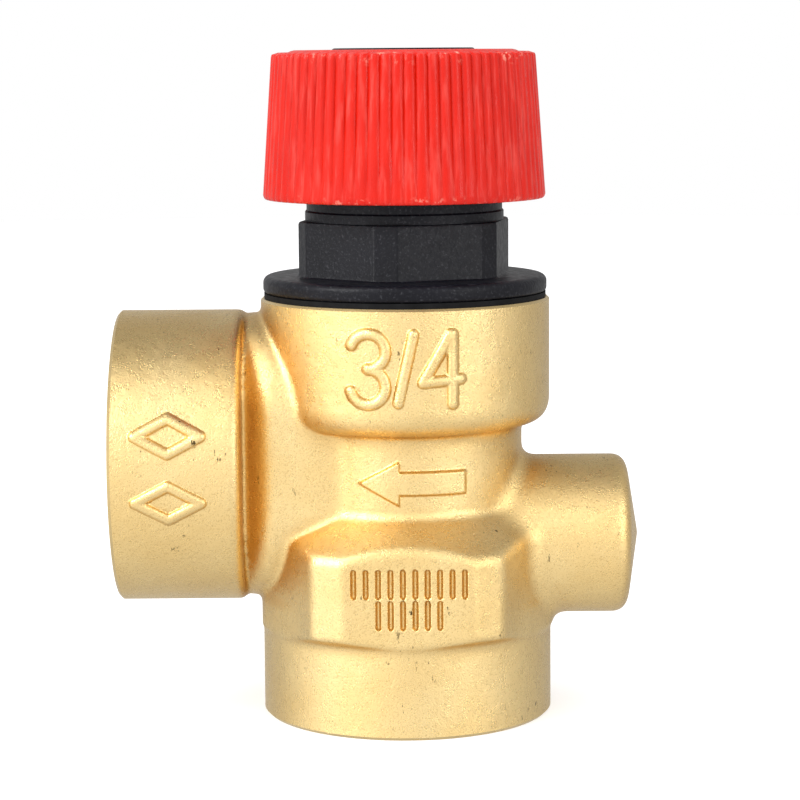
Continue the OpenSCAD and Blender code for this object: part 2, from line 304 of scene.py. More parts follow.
def black_nylon(name):
    """Glass-filled nylon from a finely eroded mould: charcoal, with pale flecks."""
    n = Surface(name, IOR=1.5, Specular_IOR_Level=0.18)
    ground = n.two_tone(n.noise(5, 3), (0.0022, 0.0022, 0.0042), (0.0045, 0.0045, 0.0075))
    flecks = n.spread(n.noise(0.30, 3, 0.7), 0.56, 0.68)
    n.set(Base_Color=n.mix(n.math("MULTIPLY", flecks, 0.5), ground, (0.05, 0.051, 0.058)),
          Roughness=n.uneven(n.noise(0.7, 3), 0.32, 0.46))
    n.bump((n.noise(0.45, 3, 0.6), 0.05), (n.noise(0.18, 2), 0.02))
    return n.material


def red_plastic():
    """Moulded and semi-gloss, with pale streaks along the ribs that are partly drag marks and partly painted
    highlights, and pale marks at both rims that are partly scuffs and partly painted highlights.
    """
    n = Surface("red_plastic", IOR=1.5, Specular_IOR_Level=0.22)
    drag = n.noise(0.6, 3, 0.6, stretch=(1, 1, 0.10))
    red = n.two_tone(n.noise(6, 2), (0.46, 0.0065, 0.0015), (0.52, 0.010, 0.003))
    # Pale pink streaks along the drag noise: partly drag marks, partly painted highlights on the ribs.
    drag_marks_and_sheen = n.mix(n.spread(drag, 0.52, 0.72, 0, 0.6), red, (0.60, 0.06, 0.045))

    # Mask of the top outer edge and the foot: the pale marks there are partly scuffs and partly painted
    # highlights on the rims.
    x, y, z = n.split(n.place)
    radius = n.math("SQRT", n.math("ADD", n.math("POWER", x, 2.0), n.math("POWER", y, 2.0)))
    at_side = n.spread(radius, (KNOB_TOP_R - 0.9) * MM, (KNOB_TOP_R - 0.5) * MM)
    near_top = n.spread(z, (KNOB_TOP_Z - 1.6) * MM, (KNOB_TOP_Z - 0.3) * MM)
    near_foot = n.spread(z, (KNOB_LOW[2] + 1.0) * MM, (KNOB_LOW[2] + 0.2) * MM, 0, 0.7)
    rim_scuffs_and_highlights = n.math("MAXIMUM", n.math("MULTIPLY", near_top, at_side), near_foot)
    flecks = n.spread(n.noise(0.9, 3, 0.7), 0.56, 0.66)
    marks = n.math("MULTIPLY", flecks, n.spread(n.noise(5, 2), 0.46, 0.58))
    scuffs_and_rim_highlights = n.mix(n.math("MULTIPLY", rim_scuffs_and_highlights, marks), drag_marks_and_sheen, (0.74, 0.27, 0.20))

    n.set(Base_Color=scuffs_and_rim_highlights, Roughness=n.uneven(drag, 0.22, 0.40))
    n.bump((drag, 0.07), (n.noise(0.35, 3), 0.012))
    return n.material


CAST = cast_brass()
TURNED = turned_brass()
NYLON = black_nylon("black_nylon")
RED = red_plastic()
CAP_BLACK = black_nylon("cap_black")
RUBBER = black_rubber()
STEEL = steel("plated_steel", (0.60, 0.60, 0.61), 0.28)
SPRING_STEEL = steel("spring_steel", (0.42, 0.42, 0.43), 0.32)


# ---------------------------------------------------------------- meshes

def add_object(name, points_mm, faces, *materials):
    """A smooth-shaded object from points in mm. Its faces have the first of the materials."""
    mesh = bpy.data.meshes.new(name)
    mesh.from_pydata((np.asarray(points_mm, float) * MM).tolist(), [], [list(f) for f in faces])
    for material in materials:
        mesh.materials.append(material)
    mesh.polygons.foreach_set("use_smooth", [True] * len(mesh.polygons))
    mesh.update()
    obj = bpy.data.objects.new(name, mesh)
    bpy.context.scene.collection.objects.link(obj)
    return obj


@contextmanager
def editing(obj):
    """An object's mesh as a bmesh, put back when the block ends."""
    mesh = bmesh.new()
    mesh.from_mesh(obj.data)
    yield mesh
    mesh.to_mesh(obj.data)
    mesh.free()


def points_of(obj):
    """An object's points in mm, one row each."""
    points = np.empty(len(obj.data.vertices) * 3)
    obj.data.vertices.foreach_get("co", points)
    return points.reshape(-1, 3) / MM


def face_outwards(obj):
    with editing(obj) as mesh:
        bmesh.ops.recalc_face_normals(mesh, faces=mesh.faces)


def finish_solid(obj, degrees):
    """Turns all faces outwards, and lets edges bent by more than the degrees shade sharp."""
    face_outwards(obj)
    obj.data.set_sharp_from_angle(angle=math.radians(degrees))
    return obj


def bake_modifiers(obj):
    """Replaces the mesh by what its modifiers make of it."""
    graph = bpy.context.evaluated_depsgraph_get()
    made = bpy.data.meshes.new_from_object(obj.evaluated_get(graph))
    obj.modifiers.clear()
    obj.data = made


def arc(x, y, r, start, end, steps):
    """Points of an arc about (x, y), in degrees."""
    angles = [math.radians(start + (end - start) * i / steps) for i in range(steps + 1)]
    return [(x + r * math.cos(a), y + r * math.sin(a)) for a in angles]


def rows_of(outline, angles):
    """Radii and heights at all angles of a list of (r, z), where r and z are numbers or arrays of angles."""
    wide = np.ones(len(angles))
    return np.array([r * wide for r, _ in outline]), np.array([z * wide for _, z in outline])


def polar_solid(name, outline, turns, material, axis="z", centre_z=0.0):
    """A closed solid round Z (or along X at centre_z) from outline(angles) -> radii and heights.

    The outline is a closed loop for a ring, or starts and ends on the axis. A list of (r, z) is one
    outline for every angle.
    """
    angles = np.arange(turns) * 2 * math.pi / turns
    radii, heights = outline(angles) if callable(outline) else rows_of(outline, angles)
    count = radii.shape[0]
    solid = bool(radii[0].max() < 1e-6 and radii[-1].max() < 1e-6)
    points = np.stack([radii * np.cos(angles), radii * np.sin(angles), heights], -1)
    if axis == "x":
        points = np.stack([points[..., 2], points[..., 0], points[..., 1] + centre_z], -1)
    rows = []
    vertices = []
    for k in range(count):
        if solid and k in (0, count - 1):
            rows.append([len(vertices)] * turns)
            vertices.append(points[k, 0])
        else:
            rows.append(list(range(len(vertices), len(vertices) + turns)))
            vertices.extend(points[k])
    faces = []
    for k in range(count - 1 if solid else count):
        low, high = rows[k], rows[(k + 1) % count]
        for i in range(turns):
            j = (i + 1) % turns
            face = [low[i], low[j], high[j], high[i]]
            if low[i] == low[j]:
                face = [low[i], high[j], high[i]]
            elif high[i] == high[j]:
                face = [low[i], low[j], high[i]]
            faces.append(face)
    return add_object(name, vertices, faces, material)


# ---------------------------------------------------------------- distances, in mm

def smooth_min(a, b, k):
    """The lower of two values, blended where they are within k of each other."""
    h = np.maximum(k - np.abs(a - b), 0) / k
    return np.minimum(a, b) - h * h * k / 4


def smooth_max(a, b, k):
    return -smooth_min(-a, -b, k)


def smooth_step(t):
    """0 to 1 over t from 0 to 1, level at both ends."""
    return t * t * (3 - 2 * t)


def rod(radial, along, r, low, high, edge):
    """Distance to a cylinder with rounded edges."""
    return smooth_max(radial - r, np.maximum(low - along, along - high), edge)


def segment(u, v, a, b):
    """Distance in a plane to the line from a to b."""
    du, dv = b[0] - a[0], b[1] - a[1]
    t = np.clip(((u - a[0]) * du + (v - a[1]) * dv) / (du * du + dv * dv), 0, 1)
    return np.hypot(u - a[0] - t * du, v - a[1] - t * dv)


def bend(u, v, centre, r, start, end):
    """Distance in a plane to an arc that runs anticlockwise from start to end, in degrees."""
    middle = math.radians((start + end) / 2)
    half = math.radians((end - start) / 2)
    du, dv = u - centre[0], v - centre[1]
    off = np.abs((np.arctan2(dv, du) - middle + math.pi) % (2 * math.pi) - math.pi)
    to_ends = np.minimum(*(np.hypot(du - r * math.cos(a), dv - r * math.sin(a))
                           for a in (middle - half, middle + half)))
    return np.where(off <= half, np.abs(np.hypot(du, dv) - r), to_ends)


def nearest(*distances):
    return np.minimum.reduce(distances)


def ridge(distance, half_width, height):
    """Height of a rounded ridge along a line."""
    t = np.clip(distance / half_width, 0, 1)
    return height * np.sqrt(1 - t * t)


def plateau(distance, edge, height):
    """Height of a flat raised area: distance is negative inside it."""
    return height * smooth_step(np.clip(0.5 - distance / edge, 0, 1))


# ---------------------------------------------------------------- marks: heights over the body's skin

def size_numerals(x, z):
    """Raised 3/4 on the barrel."""
    top, foot = 44.8, 37.2
    bar_left, bar_right = (1.85, 39.55), (5.95, 39.9)
    upright_x = 5.1
    line = nearest(bend(x, z, (-4.1, 42.98), 1.92, -90, 160),
                   bend(x, z, (-4.15, 39.13), 1.94, -165, 90),
                   segment(x, z, (-0.85, 37.4), (0.85, top)),
                   segment(x, z, (4.9, top), bar_left),
                   segment(x, z, bar_left, bar_right),
                   segment(x, z, (upright_x, top), (upright_x, foot)))
    return ridge(line, 0.64, 0.58)


def flow_arrow(x, z):
    """Raised arrow on the neck, pointing to the outlet."""
    tip, back, tail, middle = -5.3, -0.8, 6.5, 28.05
    head_half, shaft_half = 2.45, 1.28
    across = np.abs(z - middle)
    head = np.maximum((across - head_half * (x - tip) / (back - tip)) * 0.88, x - back)
    shaft = np.maximum(across - shaft_half, np.maximum(back - 0.5 - x, x - tail))
    return plateau(np.minimum(head, shaft), 0.30, 0.48)


def lozenges(x, z):
    """Outlines of two raised lozenges on the outlet's socket."""
    middle_x, half_x, half_z = -25.9, 3.6, 1.9
    line = nearest(*(segment(np.abs(x - middle_x), np.abs(z - middle_z), (half_x, 0), (0, half_z))
                     for middle_z in (33.9, 26.6)))
    return ridge(line, 0.62, 0.55)


def pressed_rows(x, z):
    """Two rows of pressed strokes on the wrench flat."""
    half_length, pitch, middle_x = 1.35, 1.35, 0.2
    depth = np.zeros_like(x)
    for middle_z, count in ((17.55, 10), (14.1, 6)):
        for i in range(count):
            u = middle_x + (i - (count - 1) / 2) * pitch
            line = segment(x, z, (u, middle_z - half_length), (u, middle_z + half_length))
            depth = np.maximum(depth, ridge(line, 0.31, 0.6))
    return -depth


# Each mark's heights, and the x, z and furthest y that it lies within.
MARKS = ((size_numerals, (-8.5, 8.5), (35.2, 46.8), -11),
         (flow_arrow, (-6.6, 7.8), (24.9, 31.4), -9),
         (lozenges, (-30.6, -21.2), (23.8, 36.7), -11),
         (pressed_rows, (-8.2, 8.6), (12.2, 19.4), -14))


def within(x, y, z, x_range, z_range, front):
    return (x > x_range[0]) & (x < x_range[1]) & (z > z_range[0]) & (z < z_range[1]) & (y < front)


# ---------------------------------------------------------------- brass body: its forged skin

def wrench_field(about_z, side, front, z):
    """The section with flats for a wrench: cut corners, a cone under it and one over it."""
    side_half, corner_30, corner_60 = 16.4, 16.65, 18.3
    foot_z, top_z = 10.2, 24.2
    under_slope, over_slope = 2.0, 1.25
    flats = smooth_max(front - WRENCH_HALF, side * 0.866 + front * 0.5 - corner_30, 0.3)
    flats = smooth_max(flats, side * 0.5 + front * 0.866 - corner_60, 0.35)
    flats = smooth_max(flats, side - side_half, 0.5)
    under = (about_z - (SOCKET_R + under_slope * (z - foot_z))) / math.hypot(1, under_slope)
    over = (about_z - (NECK_R + over_slope * (top_z - z))) / math.hypot(1, over_slope)
    return smooth_max(smooth_max(flats, under, 0.25), over, 0.7)


def outlet_neck_field(x, y, z):
    """The tall neck behind the outlet's socket, which slopes in to a groove at its end."""
    neck_r, half_straight, into_socket = 11.1, 5.2, 1.2
    waist = smooth_max(NECK_START_X - x, np.zeros_like(x), 1.2)
    straight = half_straight + 0.92 * waist
    radial = np.hypot(y, np.maximum(np.abs(z - OUTLET_Z) - straight, 0))
    neck = (radial - neck_r + waist) / np.where(waist > 0.4, 1.4, 1.0)
    return np.maximum(neck, np.maximum(x, SOCKET_END_X - into_socket - x))


def body_field(x, y, z):
    """Distance in mm to the forged skin, negative inside. The machined ends are left long, to be cut."""
    about_z = np.hypot(x, y)
    about_outlet = np.hypot(y, z - OUTLET_Z)
    about_boss = np.hypot(y, z - BOSS_Z)
    to_cut, to_cut_below = 1.5, 2.0
    neck_low, neck_high = 12.0, 40.0
    tip_slope = 0.171

    inlet = rod(about_z, z, SOCKET_R, -to_cut_below, INLET_SOCKET_TOP, 0.8)
    neck = rod(about_z, z, NECK_R, neck_low, neck_high, 0.5)
    barrel = np.maximum(smooth_max(about_z - BARREL_R, BARREL_FOOT - z, 3.0), z - (TOP_Z + to_cut))
    outlet = rod(about_outlet, x, SOCKET_R, OUTLET_X - to_cut, SOCKET_END_X, 0.9)
    boss_end = x - (BOSS_TIP_X - about_boss * tip_slope)
    boss = smooth_max(about_boss - BOSS_R, np.maximum(boss_end, -x), 1.6)

    field = smooth_min(neck, wrench_field(about_z, np.abs(x), np.abs(y), z), 0.6)
    field = smooth_min(field, inlet, 0.8)
    field = smooth_min(field, barrel, 1.1)
    field = smooth_min(field, outlet_neck_field(x, y, z), 0.6)
    field = smooth_min(field, outlet, 0.35)
    field = smooth_min(field, boss, 1.7)

    for height, x_range, z_range, front in MARKS:
        here = within(x, y, z, x_range, z_range, front)
        field[here] -= height(x[here], z[here])
    return field


def field_slope(points, value, step):
    """Slope of the field at points where it has the given value."""
    return np.stack([(body_field(*(points + step * e).T) - value) / step for e in np.eye(3)], 1)


def surface_nets(field, corner, step):
    """Closed quad mesh of a sampled field's zero level, with one point per crossed cell."""
    inside = field < 0
    size = np.array(field.shape) - 1
    places, owners, quads = [], [], []
    for axis in range(3):
        b, c = (axis + 1) % 3, (axis + 2) % 3
        low = tuple(slice(0, -1) if k == axis else slice(None) for k in range(3))
        high = tuple(slice(1, None) if k == axis else slice(None) for k in range(3))
        at = np.argwhere(inside[low] != inside[high])
        end = at.copy()
        end[:, axis] += 1
        value = field[tuple(at.T)]
        along = value / (value - field[tuple(end.T)])
        place = at.astype(float)
        place[:, axis] += along
        ring = []
        for db, dc in ((1, 1), (0, 1), (0, 0), (1, 0)):
            cell = at.copy()
            cell[:, b] -= db
            cell[:, c] -= dc
            ring.append(np.ravel_multi_index(cell.T, size, mode="clip"))
            places.append(place)
            owners.append(ring[-1])
        quad = np.stack(ring, 1)
        flip = ~inside[tuple(at.T)]
        quad[flip] = quad[flip][:, ::-1]
        quads.append(quad)
    owners = np.concatenate(owners)
    places = np.concatenate(places)
    cells, index = np.unique(owners, return_inverse=True)
    count = np.bincount(index)
    points = np.stack([np.bincount(index, places[:, k]) / count for k in range(3)], 1)
    quads = np.searchsorted(cells, np.concatenate(quads))
    return points * step + corner, quads


def on_surface(points, rounds):
    """Moves points along the field's slope until they lie on the surface."""
    furthest = 0.3
    for _ in range(rounds):
        value = body_field(*points.T)
        slope = field_slope(points, value, 0.02)
        move = -value[:, None] * slope / np.maximum((slope ** 2).sum(1), 0.3)[:, None]
        points = points + np.clip(move, -furthest, furthest)
    return points


def settle(points, quads, rounds):
    """Evens the points out over the surface and puts each one on it."""
    edges = np.concatenate([quads[:, [k, (k + 1) % 4]] for k in range(4)])
    degree = np.bincount(edges[:, 0], minlength=len(points))
    for _ in range(rounds):
        points = on_surface(points, 2)
        total = np.stack([np.bincount(edges[:, 0], points[edges[:, 1], k], len(points)) for k in range(3)], 1)
        points = points * 0.5 + total / degree[:, None] * 0.5
    return on_surface(points, 3)


def forged_skin():
    """Points and faces of the skin before it is machined."""
    step = 0.4
    corner = np.array([OUTLET_X - 2.5, -18.2, -3.0])
    far = np.array([BOSS_TIP_X + 1.5, 18.2, TOP_Z + 2.8])
    axes = [np.arange(a, b, step) for a, b in zip(corner, far)]
    grid = np.meshgrid(*axes, indexing="ij")
    points, quads = surface_nets(body_field(*grid), corner, step)
    return settle(points, quads, 2), quads


def refine_marks(obj):
    """Finer faces where the raised and pressed marks are, put back on the surface."""
    with editing(obj) as mesh:
        edges = set()
        for face in mesh.faces:
            x, y, z = (v / MM for v in face.calc_center_median())
            if any(within(x, y, z, *place) for _, *place in MARKS):
                edges.update(face.edges)
        bmesh.ops.subdivide_edges(mesh, edges=list(edges), cuts=2, use_grid_fill=True)
        bmesh.ops.triangulate(mesh, faces=[f for f in mesh.faces if len(f.verts) > 4])
    points = on_surface(points_of(obj), 3)
    obj.data.vertices.foreach_set("co", (points * MM).ravel())
    obj.data.update()


def mark_machined_edges(obj):
    """Sharp edges only where a machined face meets another at an angle."""
    sharp = math.radians(24)
    with editing(obj) as mesh:
        for face in mesh.faces:
            face.smooth = True
        for edge in mesh.edges:
            machined = any(face.material_index for face in edge.link_faces)
            edge.smooth = not (machined and len(edge.link_faces) == 2 and edge.calc_face_angle() > sharp)


def shade_creases(obj):
    """Stores how hemmed in each point of the forged skin is, from 0 to 1: occlusion that the brass paints as
    shade in its creases.
    """
    points = points_of(obj)
    value = body_field(*points.T)
    slope = field_slope(points, value, 0.05)
    slope /= np.maximum(np.linalg.norm(slope, axis=1), 1e-6)[:, None]
    shade = np.zeros(len(points))
    # Occlusion from how little the field opens out at three reaches along the slope; painted into the colour
    # as shade.
    for reach, share in ((0.6, 0.3), (2.0, 0.35), (5.0, 0.35)):
        clear = (body_field(*(points + reach * slope).T) - value) / reach
        shade += share * np.clip(1 - clear, 0, 1)
    attribute = obj.data.attributes.new("occlusion_shade", "FLOAT", "POINT")
    attribute.data.foreach_set("value", shade)


# ---------------------------------------------------------------- brass body: its machining

CUTTER_TURNS = 120


def thread_rows(end, mouth_r, angles):
    """Radii and depths of a right-hand female thread, from its mouth at the face to its end."""
    tooth_depth = 1.16
    rows = np.linspace(0.0, end, int(end / THREAD_PITCH * 10) + 1)
    phase = (rows[:, None] / THREAD_PITCH - angles[None, :] / (2 * math.pi)) % 1
    tooth = np.clip(1.35 * (1 - np.abs(2 * phase - 1)) - 0.175, 0, 1)
    tooth = 0.35 * smooth_step(tooth) + 0.65 * tooth
    fade = np.clip((end - rows) / (0.8 * THREAD_PITCH), 0, 1)[:, None]
    mouth = np.maximum(mouth_r - rows, THREAD_R)[:, None]
    radii = np.maximum(THREAD_R + tooth_depth * tooth * fade, mouth)
    return radii, np.repeat(rows[:, None], len(angles), 1)


def port_cutter(name, face, thread_end, bore_r, bore_end, axis="z", centre_z=0.0):
    """What is cut out of a port: its face, rim chamfer, mouth, thread and bore."""
    mouth_r = THREAD_R + 1.75
    outside = SOCKET_R + 4
    chamfer = 0.35
    overrun = 4.0
    before = [(0, -overrun), (outside, -overrun), (outside, outside - SOCKET_R + chamfer),
              (SOCKET_R - chamfer, 0), (mouth_r + 0.02, 0)]
    cone_end = thread_end + (THREAD_R - bore_r) * 0.55
    after = [(THREAD_R, thread_end + 0.02), (bore_r, cone_end), (bore_r, bore_end), (0, bore_end)]

    def outline(angles):
        parts = (rows_of(before, angles), thread_rows(thread_end, mouth_r, angles), rows_of(after, angles))
        radii, depths = (np.concatenate(rows) for rows in zip(*parts))
        return radii, face + depths

    return polar_solid(name, outline, CUTTER_TURNS, CAST, axis, centre_z)


def top_cutter():
    """What is cut out from above: face, bonnet's bore, ledge, chamber round the seat, orifice."""
    rim = BARREL_R + 0.8
    floor_z, groove_r, seat_r, end_z = 19.5, 9.2, 8.2, 15
    profile = [(0, TOP_Z + 4), (rim, TOP_Z + 4), (rim, TOP_Z - 1.05), (BARREL_R - 0.25, TOP_Z),
               (BONNET_BORE_R + 0.4, TOP_Z), (BONNET_BORE_R, TOP_Z - 0.4), (BONNET_BORE_R, LEDGE_Z),
               (CHAMBER_R, LEDGE_Z), (CHAMBER_R, floor_z), (groove_r, floor_z), (groove_r, SEAT_Z - 1),
               (seat_r, SEAT_Z), (ORIFICE_R, SEAT_Z), (ORIFICE_R, end_z), (0, end_z)]
    return polar_solid("top_cutter", profile, CUTTER_TURNS, CAST)


def brass_body():
    """Forged skin with the machined faces cut into it."""
    points, quads = forged_skin()
    body = add_object("brass_body", points, quads, CAST, TURNED)
    refine_marks(body)
    cutters = [port_cutter("inlet_cutter", 0.0, INLET_THREAD_END, ORIFICE_R, 18.0),
               port_cutter("outlet_cutter", OUTLET_X, OUTLET_THREAD_END, OUTLET_PASSAGE_R, -OUTLET_X,
                           "x", OUTLET_Z),
               top_cutter()]
    for cutter in cutters:
        cutter.data.materials.append(TURNED)
        cutter.data.polygons.foreach_set("material_index", [1] * len(cutter.data.polygons))
        face_outwards(cutter)
        cut = body.modifiers.new(cutter.name, "BOOLEAN")
        cut.operation = "DIFFERENCE"
        cut.solver = "MANIFOLD"
        cut.object = cutter
    bake_modifiers(body)
    for cutter in cutters:
        bpy.data.objects.remove(cutter, do_unlink=True)
    mark_machined_edges(body)
    shade_creases(body)
    return body


# ---------------------------------------------------------------- bonnet

def from_ramp_start(angles):
    """Degrees from the start of the ramp under each angle."""
    return np.degrees(angles) % (360 / RAMPS)


def hexagon_r(angles):
    """Radius of the bonnet's cut-cornered hexagon."""
    radii = np.full(len(angles), np.inf)
    for apothem, turn in ((11.2, 50), (12.18, 20)):
        for k in range(6):
            facing = np.cos(angles - math.radians(turn + 60 * k))
            radii = np.where(facing > 0.3, np.minimum(radii, apothem / np.maximum(facing, 0.3)), radii)
    return radii


def bonnet():
    """Threaded stub, flange, hexagon and collar, with the knob's ramps round the collar."""
    stub = BONNET_LOW[2]
    stub_r, stub_bore_r, bore_r = 13.98, 10.6, 8.8
    flange_low = GASKET_HIGH[2]
    flange_high = flange_low + 1.9
    flange_r = 16.05
    collar_r = 11.05
    ramp_inner_r, ramp_outer_r, ramp_low = 9.1, 10.8, 67.2

    below = [(stub_bore_r, stub), (13.5, stub), (stub_r, stub + 0.4), (stub_r, flange_low),
             (flange_r - 0.55, flange_low)]
    below += arc(flange_r - 0.5, flange_low + 0.5, 0.5, -80, 0, 5)
    below += arc(flange_r - 0.75, flange_high - 0.75, 0.75, 0, 84, 6)
    below += [(14.2, flange_high + 0.03), (13.2, flange_high + 0.05)]
    past_hexagon = [(0.32, flange_high + 0.05), (0.1, flange_high + 0.16), (0.0, flange_high + 0.38),
                    (0.0, HEX_TOP - 0.34), (-0.1, HEX_TOP - 0.1), (-0.34, HEX_TOP)]
    ring = [(11.22, HEX_TOP), (11.22, HEX_TOP + 0.95)]
    collar = [(collar_r, HEX_TOP + 1.15), (collar_r, 66.7), (collar_r - 0.2, COLLAR_TOP)]
    inside = [(bore_r, COLLAR_TOP), (bore_r, stub + 2.8), (stub_bore_r, stub + 2.8)]

    def outline(angles):
        six = hexagon_r(angles)
        off = from_ramp_start(angles)
        ramp_z = np.where(off <= RAMP_SPAN, ramp_low + RAMP_RISE * off, COLLAR_TOP)
        rows = below + [(six + past, z) for past, z in past_hexagon]
        rows += [(np.minimum(r, six - 0.02), z) for r, z in ring] + collar
        rows += [(ramp_outer_r, COLLAR_TOP), (ramp_outer_r, ramp_z), (ramp_inner_r, ramp_z),
                 (ramp_inner_r, COLLAR_TOP)]
        return rows_of(rows + inside, angles)

    return finish_solid(polar_solid("bonnet_shell", outline, 720, NYLON), 28)


# ---------------------------------------------------------------- knob and its cap

def knob():
    """Ribbed grip with a recess for the cap, a hub for the stem and four lugs that ride on the ramps."""
    low_z = KNOB_LOW[2]
    roof_z, floor_low, floor_high, floor_r = 72.9, 70.9, 72.4, 9.3
    hub_r, bore_r, hub_low = 5.0, 2.55, 68.25
    recess_r, ledge_r, ledge_z = 8.15, 7.6, KNOB_TOP_Z - 0.9
    lug_inner_r, lug_outer_r, lug_low = 9.35, 10.6, 67.3

    grip_heights = [low_z, low_z + 0.12, low_z + 0.4, low_z + 0.9]
    grip_heights += list(np.linspace(low_z + 1.8, KNOB_TOP_Z - 1.6, 16))
    grip_heights += [KNOB_TOP_Z - 0.9, KNOB_TOP_Z - 0.5, KNOB_TOP_Z - 0.25]
    foot = [(KNOB_FOOT_R - 1.75, low_z), (KNOB_FOOT_R - 0.62, low_z)]
    top = [(KNOB_TOP_R - 0.75, KNOB_TOP_Z - 0.03), (12.9, KNOB_TOP_Z), (12.6, KNOB_TOP_Z + 0.14),
           (12.2, KNOB_TOP_Z + 0.22), (8.45, KNOB_TOP_Z + 0.24), (8.2, KNOB_TOP_Z + 0.12)]
    inside = [(recess_r, KNOB_TOP_Z - 0.1), (recess_r, ledge_z), (ledge_r, ledge_z), (ledge_r, floor_high),
              (bore_r, floor_high), (bore_r, hub_low), (hub_r, hub_low), (hub_r, floor_low),
              (floor_r, floor_low), (floor_r, roof_z)]

    def grip_row(z, groove):
        up = (z - low_z) / (KNOB_TOP_Z - low_z)
        plain_r = KNOB_FOOT_R + (KNOB_TOP_R - KNOB_FOOT_R) * up
        depth = 0.11 + 0.20 * min(1.0, up * 1.9)
        foot_round = 0.25 * max(0.0, 1 - (z - low_z) / 0.4) ** 2
        top_round = 0.22 * max(0.0, 1 - (KNOB_TOP_Z - z) / 0.6) ** 2
        return plain_r - (foot_round + top_round) - depth * groove, z

    def outline(angles):
        phase = angles * KNOB_RIBS / (2 * math.pi) % 1
        groove = np.abs(2 * phase - 1) ** 2.6
        off = from_ramp_start(angles)
        lug_z = np.where(off <= LUG_SPAN, lug_low + RAMP_RISE * off, roof_z)
        lugs = [(lug_inner_r, roof_z), (lug_inner_r, lug_z), (lug_outer_r, lug_z), (lug_outer_r, roof_z)]
        grip = [grip_row(z, groove) for z in grip_heights]
        return rows_of(foot + grip + top + inside + lugs + [(KNOB_TOP_R - 1.8, roof_z)], angles)

    return finish_solid(polar_solid("knob_grip", outline, KNOB_RIBS * 12, RED), 50)


def knob_cap():
    """Flat cover with a shallow dish on top and a thin skirt under it."""
    top_z = CAP_HIGH[2]
    skirt_low = CAP_LOW[2]
    disc_low = skirt_low + 1.35
    dish_z = top_z - 0.22
    profile = [(0, disc_low), (6.6, disc_low), (6.6, skirt_low + 0.1), (6.7, skirt_low), (7.35, skirt_low),
               (7.4, disc_low - 0.1), (7.45, disc_low), (8.0, disc_low), (8.05, disc_low + 0.1)]
    profile += arc(7.7, top_z - 0.35, 0.35, 0, 90, 5)
    profile += [(6.6, top_z), (6.4, top_z - 0.15), (6.2, dish_z), (1.2, dish_z), (1.0, top_z - 0.28),
                (0, top_z - 0.3)]
    return finish_solid(polar_solid("knob_cover", profile, 128, CAP_BLACK), 35)


# ---------------------------------------------------------------- spring and diaphragm

def spring():
    """Coil spring with closed ends."""
    wire_r, coil_r = 0.95, 6.9
    turns, steps, sides = 7, 40, 14
    low, high = SPRING_LOW[2] + wire_r, SPRING_HIGH[2] - wire_r
    closed = 2 * wire_r * 1.03
    t = np.arange(turns * steps + 1) / steps
    middle = low + closed + (high - low - 2 * closed) * (t - 1) / (turns - 2)
    z = np.where(t < 1, low + closed * t, np.where(t > turns - 1, high - closed * (turns - t), middle))
    around = np.arange(sides) * 2 * math.pi / sides
    r = coil_r + wire_r * np.cos(around)[None, :]
    turn = 2 * math.pi * t[:, None]
    points = np.stack([r * np.cos(turn), r * np.sin(turn), z[:, None] + wire_r * np.sin(around)[None, :]], -1)
    count = points.shape[0] * sides
    faces = [(ring + k, ring + (k + 1) % sides, ring + sides + (k + 1) % sides, ring + sides + k)
             for ring in range(0, turns * steps * sides, sides) for k in range(sides)]
    faces.append(tuple(range(sides)))
    faces.append(tuple(range(count - 1, count - 1 - sides, -1)))
    return finish_solid(add_object("spring_coil", points.reshape(-1, 3), faces, SPRING_STEEL), 50)


def diaphragm():
    """Rubber sheet, clamped at its rim and at the stem, with a rolling fold between."""
    low = DIAPHRAGM_LOW[2]
    bore_r, fold_start, fold_end, rim_r = 3.05, 7.6, 10.8, 13.95
    steps = 10
    under = [(bore_r, low), (fold_start, low)]
    for i in range(1, steps):
        t = i / steps
        under.append((fold_start + (fold_end - fold_start) * t, low + (LEDGE_Z - low) * smooth_step(t)))
    under += [(fold_end, LEDGE_Z), (rim_r, LEDGE_Z)]
    profile = under + [(r, z + DIAPHRAGM_THICK) for r, z in reversed(under)]
    return finish_solid(polar_solid("diaphragm_sheet", profile, 120, RUBBER), 40)


# ---------------------------------------------------------------- pieces on their bodies

def put(piece, body, node):
    """Lets a piece ride on a body in the place of a node, which it hides."""
    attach(piece, body)
    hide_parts(node)


put(brass_body(), "valve", "body")
put(bonnet(), "valve", "bonnet")
put(knob(), "knob", "knob")
put(knob_cap(), "knob", "knob_cap")

coil = spring()
put(coil, "valve", "main_spring")
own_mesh(coil)

sheet = diaphragm()
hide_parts("diaphragm")
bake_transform(sheet)

NODE_MATERIALS = {
    STEEL: ("slip_ring", "upper_spring_seat", "seal_washer", "seal_screw", "diaphragm_plate",
            "lower_spring_seat", "knob_washer", "knob_screw", "stem_nut"),
    RUBBER: ("bonnet_gasket", "seal_disc"),
    TURNED: ("adjusting_ring", "disc_holder", "stem"),
}
for material, nodes in NODE_MATERIALS.items():
    for node in nodes:
        for slot in frame["nodes"][node].material_slots:
            slot.material = material


# ---------------------------------------------------------------- floor, light and camera

def studio_white():
    """White that also gives off light, so that the table top is about as bright as what is behind it."""
    n = Surface("studio_white", Roughness=0.7, Specular_IOR_Level=0.2, Emission_Color=(1, 1, 1),
                Emission_Strength=0.55)
    white = (0.50, 0.50, 0.505)
    n.set(Base_Color=n.two_tone(n.noise(40, 2), white, scaled(white, 1.01)))
    return n.material


def floor():
    """The round table top."""
    r, steps = 900, 96
    rim = [(r * math.cos(a), r * math.sin(a), 0) for a in np.arange(steps) * 2 * math.pi / steps]
    faces = [(0, i + 1, (i + 1) % steps + 1) for i in range(steps)]
    stage = add_object("studio_floor", [(0, 0, 0)] + rim, faces, studio_white())
    stage.visible_glossy = False


